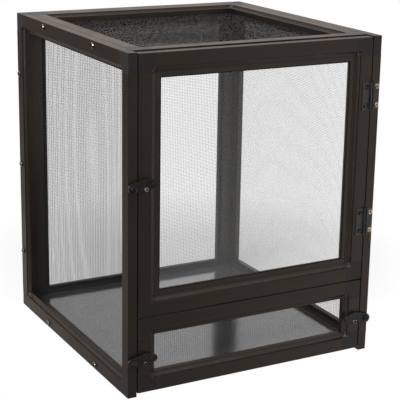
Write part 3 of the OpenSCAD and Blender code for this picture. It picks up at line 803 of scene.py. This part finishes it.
class CAGE_OT_screens(bpy.types.Operator):
    """Weave the five screens from slightly bowed crossing wires"""

    bl_idname = "cage.screens"
    bl_label = "Screens"

    def execute(self, context):
        sizes, tones = context.scene.cage_sizes, context.scene.cage_tones
        finish = make_grained("Screen wire", tones.wire, tones.wire_pale, WIRE_GRAIN, MATT)
        # The roof's wire gets its sheen painted in flecks.
        dust_and_sheen = make_dust_and_sheen_wire(tones)
        for node in nodes_in("fly_screen"):
            if node == ROOF:
                wire_screen(node, dust_and_sheen, sizes.roof_wire, sizes)
            else:
                wire_screen(node, finish, sizes.wire_thickness, sizes)
        return {"FINISHED"}


class CAGE_OT_beads(bpy.types.Operator):
    """Round the glazing beads' edges and finish them like the bars"""

    bl_idname = "cage.beads"
    bl_label = "Glazing beads"

    def execute(self, context):
        sizes, tones = context.scene.cage_sizes, context.scene.cage_tones
        paler = scaled(tones.anodised, BEAD_PALE)
        finish = make_grained("Bead", tones.anodised, paler, BEAD_GRAIN, SATIN)
        rounded_piece(BEADS, finish, sizes.bead_edge)
        return {"FINISHED"}


class CAGE_OT_rubber(bpy.types.Operator):
    """Finish the splines in black rubber"""

    bl_idname = "cage.rubber"
    bl_label = "Splines"

    def execute(self, context):
        sizes, tones = context.scene.cage_sizes, context.scene.cage_tones
        finish = make_grained("Black rubber", tones.rubber, tones.rubber_pale, RUBBER_GRAIN, MATT)
        for node in nodes_in("black_rubber"):
            rounded_piece(node, finish, sizes.rubber_edge)
        return {"FINISHED"}


class CAGE_OT_floor_sheet(bpy.types.Operator):
    """Finish the glossy floor sheet"""

    bl_idname = "cage.floor_sheet"
    bl_label = "Floor sheet"

    def execute(self, context):
        sizes, tones = context.scene.cage_sizes, context.scene.cage_tones
        finish = make_grained("Glossy sheet", tones.sheet, tones.sheet_pale, SHEET_GRAIN, GLOSSY)
        for node in nodes_in("floor_sheet"):
            rounded_piece(node, finish, sizes.sheet_edge)
        return {"FINISHED"}


class CAGE_OT_pane(bpy.types.Operator):
    """Glaze the door with clear acrylic"""

    bl_idname = "cage.pane"
    bl_label = "Pane"

    def execute(self, context):
        finish = make_pane()
        for node in nodes_in("clear_pane"):
            pane = rounded_piece(node, finish, context.scene.cage_sizes.sheet_edge)
            pane.visible_shadow = False
        return {"FINISHED"}


class CAGE_OT_bright_screws(bpy.types.Operator):
    """Round the bright screws and pins and plate them"""

    bl_idname = "cage.bright_screws"
    bl_label = "Bright screws"

    def execute(self, context):
        sizes, tones = context.scene.cage_sizes, context.scene.cage_tones
        # Each plating's bright patches are painted glints, and its recesses get painted shade.
        grey = make_plated("Grey plating", tones.zinc, tones.zinc_dull, tones.recess_shade, GREY_TARNISH_AND_GLINTS)
        special = {
            YELLOW_SCREWS: make_plated(
                "Yellow plating", tones.brass, tones.brass_dull, tones.recess_shade, YELLOW_TARNISH_AND_GLINTS
            ),
            CLEAN_SCREW: make_plated(
                "Clean plating", tones.zinc, tones.zinc_dull, tones.recess_shade, CLEAN_TARNISH_AND_GLINTS
            ),
        }
        for node in nodes_in("bright_screw"):
            rounded_piece(node, special.get(node, grey), sizes.screw_edge)
        return {"FINISHED"}


class CAGE_OT_black_steel(bpy.types.Operator):
    """Finish the hinges and the dark screws in black coated steel"""

    bl_idname = "cage.black_steel"
    bl_label = "Hinges and dark screws"

    def execute(self, context):
        sizes, tones = context.scene.cage_sizes, context.scene.cage_tones
        # Worn edge tone, which also paints glints on the edges.
        worn_and_glint = tones.steel_worn_and_glint
        paler = scaled(tones.steel, BLACK_PALE)
        leaf_paler = scaled(tones.leaf, LEAF_PALE)
        black = make_grained("Black coat", tones.steel, paler, BLACK_GRAIN, BLACKENED, BLACK_WEAR_AND_GLINTS, worn_and_glint)
        coated = make_grained("Leaf coat", tones.leaf, leaf_paler, LEAF_GRAIN, COATED, LEAF_WEAR_AND_GLINTS, worn_and_glint)
        for node in nodes_in("black_steel"):
            if node.endswith("leaves"):
                leaves = rounded_piece(node, coated, sizes.leaf_edge)
                blacken_and_shade_knuckles(leaves, node, black)
            else:
                rounded_piece(node, black, sizes.screw_edge)
        return {"FINISHED"}


class CAGE_OT_latches(bpy.types.Operator):
    """Round the hook latches and give them their moulded grain"""

    bl_idname = "cage.latches"
    bl_label = "Hook latches"

    def execute(self, context):
        sizes, tones = context.scene.cage_sizes, context.scene.cage_tones
        paler = scaled(tones.hook, HOOK_PALE)
        finish = make_grained(
            # The hooks' pale edges are rubbing and painted glints.
            "Moulded hook", tones.hook, paler, HOOK_GRAIN, MOULDED, HOOK_WEAR_AND_GLINTS, tones.hook_worn_and_glint
        )
        for node in nodes_in("latch_plastic"):
            rounded_piece(node, finish, sizes.hook_edge, segments=3)
        return {"FINISHED"}


# Stage


def add_soft_box(name, place, size, power, target):
    """A square area lamp that faces a point."""
    lamp = bpy.data.lights.new(name, "AREA")
    lamp.size = size
    lamp.energy = power
    soft_box = bpy.data.objects.new(name, lamp)
    soft_box.location = place
    soft_box.rotation_euler = (Vector(target) - Vector(place)).to_track_quat("-Z", "Y").to_euler()
    bpy.context.scene.collection.objects.link(soft_box)


def add_camera(stage):
    """The camera at the photograph's angle, with a square frame."""
    turn, tilt, roll = stage.azimuth, stage.elevation, stage.roll
    back = Vector((math.sin(turn) * math.cos(tilt), -math.cos(turn) * math.cos(tilt), math.sin(tilt)))
    level = Vector((math.cos(turn), math.sin(turn), 0.0))
    rise = back.cross(level)
    right = level * math.cos(roll) + rise * math.sin(roll)
    up = rise * math.cos(roll) - level * math.sin(roll)
    place = right * stage.aim_right + up * stage.aim_up + back * stage.distance
    camera = bpy.data.cameras.new("Camera")
    camera.sensor_fit = "HORIZONTAL"
    camera.sensor_width = SENSOR_WIDTH
    camera.lens = stage.focal * SENSOR_WIDTH
    camera.shift_x = stage.shift_x
    camera.shift_y = stage.shift_y
    viewer = bpy.data.objects.new("Camera", camera)
    viewer.matrix_world = Matrix.Translation(place) @ Matrix((right, up, back)).transposed().to_4x4()
    bpy.context.scene.collection.objects.link(viewer)
    bpy.context.scene.camera = viewer


def add_world(stage):
    """White where it is seen, and a soft fill as a light."""
    world = bpy.data.worlds.new("Studio")
    world.use_nodes = True
    bpy.context.scene.world = world
    tree = world.node_tree
    fill = tree.nodes["Background"]
    set_inputs(fill, {"Color": WHITE, "Strength": stage.fill})
    white = add_node(tree, "ShaderNodeBackground", {"Color": WHITE, "Strength": 1.0})
    seen = add_seen_rays(tree, "Is Camera Ray", "Is Glossy Ray", "Is Transmission Ray")
    surface = mix_shaders(tree, seen, fill.outputs["Background"], white.outputs["Background"])
    tree.links.new(surface, tree.nodes["World Output"].inputs["Surface"])


def add_ground(stage):
    """One flat sheet under the cage."""
    half = stage.ground_size / 2
    mesh = bpy.data.meshes.new("Ground")
    corners = [(-half, -half, 0.0), (half, -half, 0.0), (half, half, 0.0), (-half, half, 0.0)]
    mesh.from_pydata(corners, [], [(0, 1, 2, 3)])
    mesh.materials.append(make_ground())
    ground = bpy.data.objects.new("Ground", mesh)
    bpy.context.scene.collection.objects.link(ground)


class CAGE_OT_stage(bpy.types.Operator):
    """Set up the camera, the soft boxes, the world and the ground"""

    bl_idname = "cage.stage"
    bl_label = "Stage"

    def execute(self, context):
        stage = context.scene.cage_stage
        context.scene.view_settings.view_transform = "Standard"
        middle = (cad_low + cad_high) / 2
        add_camera(stage)
        add_world(stage)
        add_ground(stage)
        add_soft_box("Front soft box", *FRONT_BOX, stage.front_power, middle)
        add_soft_box("Top soft box", *TOP_BOX, stage.top_power, middle)
        return {"FINISHED"}


class CAGE_PT_sidebar(bpy.types.Panel):
    """Lists the cage's sizes, colours and build steps"""

    bl_idname = "CAGE_PT_sidebar"
    bl_label = "Mesh reptile cage"
    bl_space_type = "VIEW_3D"
    bl_region_type = "UI"
    bl_category = "Cage"

    def draw(self, context):
        layout = self.layout
        for group in (context.scene.cage_sizes, context.scene.cage_tones, context.scene.cage_stage):
            box = layout.box()
            for name in group.bl_rna.properties.keys():
                if name not in ("rna_type", "name"):
                    box.prop(group, name)
        for step in STEPS:
            layout.operator(step.bl_idname)


STEPS = (
    CAGE_OT_effects,
    CAGE_OT_bars,
    CAGE_OT_corner_keys,
    CAGE_OT_screens,
    CAGE_OT_beads,
    CAGE_OT_rubber,
    CAGE_OT_floor_sheet,
    CAGE_OT_pane,
    CAGE_OT_bright_screws,
    CAGE_OT_black_steel,
    CAGE_OT_latches,
    CAGE_OT_stage,
)
GROUPS = (CageSizes, CageTones, CageStage)


def register():
    """Registers the classes and hangs the settings on the scene."""
    for cls in (*GROUPS, *STEPS, CAGE_PT_sidebar):
        bpy.utils.register_class(cls)
    bpy.types.Scene.cage_sizes = PointerProperty(type=CageSizes)
    bpy.types.Scene.cage_tones = PointerProperty(type=CageTones)
    bpy.types.Scene.cage_stage = PointerProperty(type=CageStage)


def unregister():
    """Takes the settings off the scene and the classes out again."""
    del bpy.types.Scene.cage_sizes
    del bpy.types.Scene.cage_tones
    del bpy.types.Scene.cage_stage
    for cls in reversed((*GROUPS, *STEPS, CAGE_PT_sidebar)):
        bpy.utils.unregister_class(cls)


def main():
    """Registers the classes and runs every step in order."""
    register()
    for step in STEPS:
        group, name = step.bl_idname.split(".")
        getattr(getattr(bpy.ops, group), name)()


if __name__ == "__main__":
    main()
